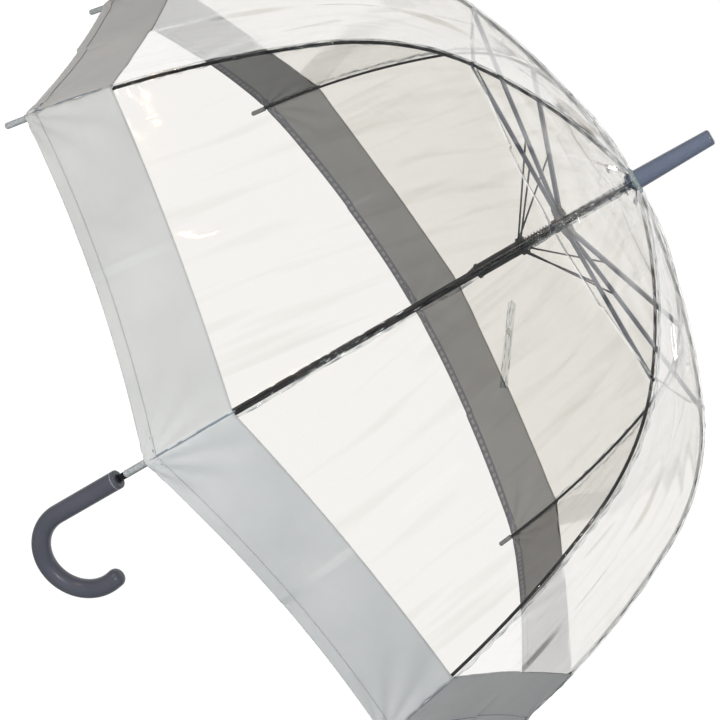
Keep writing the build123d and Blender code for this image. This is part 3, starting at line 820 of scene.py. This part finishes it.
def gather(across, down):
    """A point on the gathered film: once round the shaft as across goes from -1 to 1."""
    angle = math.pi * across
    bulge = math.sin(math.pi * min(max(down, 0), 1))
    pleat = pleat_depth * math.sin(pleat_count * angle) * bulge
    crimp = crimp_height * math.sin(crimp_count * angle + 1) * bulge
    radius = neck_radius + neck_bulge * bulge + neck_flare * down + pleat
    height = washer_top - neck_gap - neck_drop * down + crimp
    return (radius * math.cos(angle), radius * math.sin(angle), height), (angle * radius, radius)


crown_gather = lay_sheet("crown_gather", 240, 10, gather, film_thickness)
bpy.ops.object.mode_set(mode="EDIT")
bpy.ops.mesh.select_all(action="SELECT")
bpy.ops.mesh.remove_doubles(threshold=0.00002)
bpy.ops.object.mode_set(mode="OBJECT")
dress(crown_gather, clear_acrylic)
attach(crown_gather, "shaft")

# ---- closing strap ----
# A strip of clear film welded inside one gore, with a white press stud near its free end.
# It wraps round the shut canopy.
strap_sector, strap_aside, strap_half_width = 4, 0.002, 0.006
strap_length, strap_lean = 0.106, math.radians(53)
strap_depth, strap_thickness, tip_half_share = 0.0012, 0.0005, 0.02
stud_share, stud_radius, stud_flatness = 0.65, 0.004, 0.3


def strap(side, down):
    """A point on the strap, from its rounded free end to its weld at the band."""
    reach = strap_length * (1 - down)
    from_tip = down * strap_length / strap_half_width
    rounding = math.sqrt(max(0.0, 1 - max(0.0, 1 - from_tip) ** 2))
    half = strap_half_width * min(1, rounding + tip_half_share)
    along = clear_end - reach * math.cos(strap_lean) + side * half * math.sin(strap_lean)
    aside = strap_aside + reach * math.sin(strap_lean) + side * half * math.cos(strap_lean)
    across = aside / gore_half_width(along)
    return gore_place(strap_sector, along, across, film_lift - strap_depth), (side * half, reach)


closing_strap = lay_sheet("strap_strip", 8, 40, strap, strap_thickness, offset=-1)
dress(closing_strap, welded)
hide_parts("closing_strap")
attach(closing_strap, f"lower_gore_{strap_sector}")
flatten_gore(closing_strap)

stud_centre = Vector(strap(0, 1 - stud_share)[0])
stud_out = Vector((stud_centre.x, stud_centre.y, 0)).normalized()
bpy.ops.object.select_all(action="DESELECT")
bpy.ops.mesh.primitive_uv_sphere_add(segments=32, ring_count=16, radius=stud_radius)
strap_stud = bpy.context.object
strap_stud.name = "strap_stud"
for vertex in strap_stud.data.vertices:
    vertex.co.z *= stud_flatness
slope = rib_place(clear_end - stud_share * strap_length * math.cos(strap_lean))[2]
strap_normal = Vector((stud_out.x * math.sin(slope), stud_out.y * math.sin(slope), math.cos(slope)))
stud_turn = strap_normal.to_track_quat("Z", "Y").to_matrix().to_4x4()
strap_stud.data.transform(Matrix.Translation(stud_centre - strap_depth * strap_normal) @ stud_turn)
bpy.ops.object.shade_smooth()
white_acetal = start_material("moulded_white_acetal")
place = add(white_acetal, "ShaderNodeTexCoord")
grain = add(white_acetal, "ShaderNodeTexNoise", {"Scale": 900.0}, {"Vector": (place, "Object")})
relief = add(
    white_acetal, "ShaderNodeBump", {"Strength": 0.08, "Distance": 0.0002}, {"Height": (grain, "Fac")}
)
surface = add(
    white_acetal,
    "ShaderNodeBsdfPrincipled",
    {"Base Color": paint("#e6e7e6"), "Roughness": 0.3, "IOR": 1.48},
    {"Normal": (relief, "Normal")},
)
add(white_acetal, "ShaderNodeOutputMaterial", {}, {"Surface": (surface, "BSDF")})
dress(strap_stud, white_acetal)
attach(strap_stud, f"lower_gore_{strap_sector}")
flatten_gore(strap_stud)

# ---- floor and light ----
# A plain pale floor under the handle, a pale surround, four soft lamps and one lamp for glints.
def looked_at(material):
    """1 where the eye sees a surface straight or through the film, 0 for any other ray."""
    path = add(material, "ShaderNodeLightPath")
    kinds = {0: (path, "Is Camera Ray"), 1: (path, "Is Transmission Ray")}
    return path, add(material, "ShaderNodeMath", {"operation": "MAXIMUM"}, kinds)


floor_width, floor_gap, floor_glare = 14, 0.002, 0.88
floor_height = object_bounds()[0].z - floor_gap
bpy.ops.object.select_all(action="DESELECT")
bpy.ops.mesh.primitive_plane_add(size=floor_width, location=(0, 0, floor_height))
floor = bpy.context.object
floor.name = "floor"
pale_floor = start_material("pale_floor")
surface = add(
    pale_floor, "ShaderNodeBsdfPrincipled", {"Base Color": paint("#cfcfcd"), "Roughness": 0.9}
)
path, seen = looked_at(pale_floor)
glare = add(pale_floor, "ShaderNodeMath", {"operation": "MULTIPLY"}, {0: (seen, "Value")})
glare.inputs[1].default_value = floor_glare
shine = add(pale_floor, "ShaderNodeEmission", {"Color": (1, 1, 1, 1), "Strength": 1.2})
sides = {0: (glare, "Value"), 1: (surface, "BSDF"), 2: (shine, "Emission")}
both = add(pale_floor, "ShaderNodeMixShader", {}, sides)
add(pale_floor, "ShaderNodeOutputMaterial", {}, {"Surface": (both, "Shader")})
dress(floor, pale_floor)
# grazing mirrors look past the floor at the backdrop
floor.visible_glossy = False

# mirrors see a bright backdrop behind the canopy and a dim room in front of it
backdrop_direction = (0.13, 0.99, 0.0)
world = bpy.data.worlds.new("surround")
bpy.context.scene.world = world
world.use_nodes = True
world.node_tree.nodes.clear()
path, seen = looked_at(world)
strength = add(
    world, "ShaderNodeMapRange", {"To Min": 0.06, "To Max": 1.0}, {"Value": (seen, "Value")}
)
heading = add(world, "ShaderNodeTexCoord")
towards = add(
    world, "ShaderNodeVectorMath", {"operation": "DOT_PRODUCT"}, {0: (heading, "Generated")}
)
towards.inputs[1].default_value = backdrop_direction
window = add(
    world,
    "ShaderNodeMapRange",
    {
        "interpolation_type": "SMOOTHSTEP",
        "From Min": 0.3,
        "From Max": 0.72,
        "To Min": 0.22,
        "To Max": 0.9,
    },
    {"Value": (towards, "Value")},
)
factors = {0: (path, "Is Glossy Ray"), 1: (window, "Result")}
mirrored = add(world, "ShaderNodeMath", {"operation": "MULTIPLY"}, factors)
terms = {0: (strength, "Result"), 1: (mirrored, "Value")}
total = add(world, "ShaderNodeMath", {"operation": "ADD"}, terms)
sky = add(world, "ShaderNodeBackground", {"Color": (1, 1, 1, 1)}, {"Strength": (total, "Value")})
add(world, "ShaderNodeOutputWorld", {}, {"Surface": (sky, "Background")})

aim = Vector((0, 0, 0.45))
for name, spot, size, power, colour in (
    ("key_lamp", (-0.66, -2.34, 1.15), (0.9, 0.9), 60, "#ffffff"),
    ("side_lamp", (-2.24, -1.09, 0.98), (0.1, 0.1), 5, "#ffc690"),
    ("fill_lamp", (1.9, -0.9, 0.9), (1.2, 1.2), 1, "#e4eeff"),
    ("rim_lamp", (1.2, 1.2, 2.2), (0.35, 0.35), 4, "#ffffff"),
    ("window_glint", (-0.44, -2.5, 1.79), (0.4, 0.4), 13, "#ffffff"),
):
    lamp = bpy.data.lights.new(name, "AREA")
    lamp.shape = "RECTANGLE"
    lamp.size, lamp.size_y = size
    lamp.energy = power
    lamp.color = paint(colour)[:3]
    holder = bpy.data.objects.new(name, lamp)
    bpy.context.scene.collection.objects.link(holder)
    holder.location = spot
    holder.rotation_euler = (aim - Vector(spot)).to_track_quat("-Z", "Y").to_euler()
    # the glint is seen in polished surfaces only, and the key lamp never is
    holder.visible_camera = False
    holder.visible_glossy = name != "key_lamp"
    holder.visible_diffuse = not name.endswith("glint")

bpy.context.scene.view_settings.view_transform = "Standard"
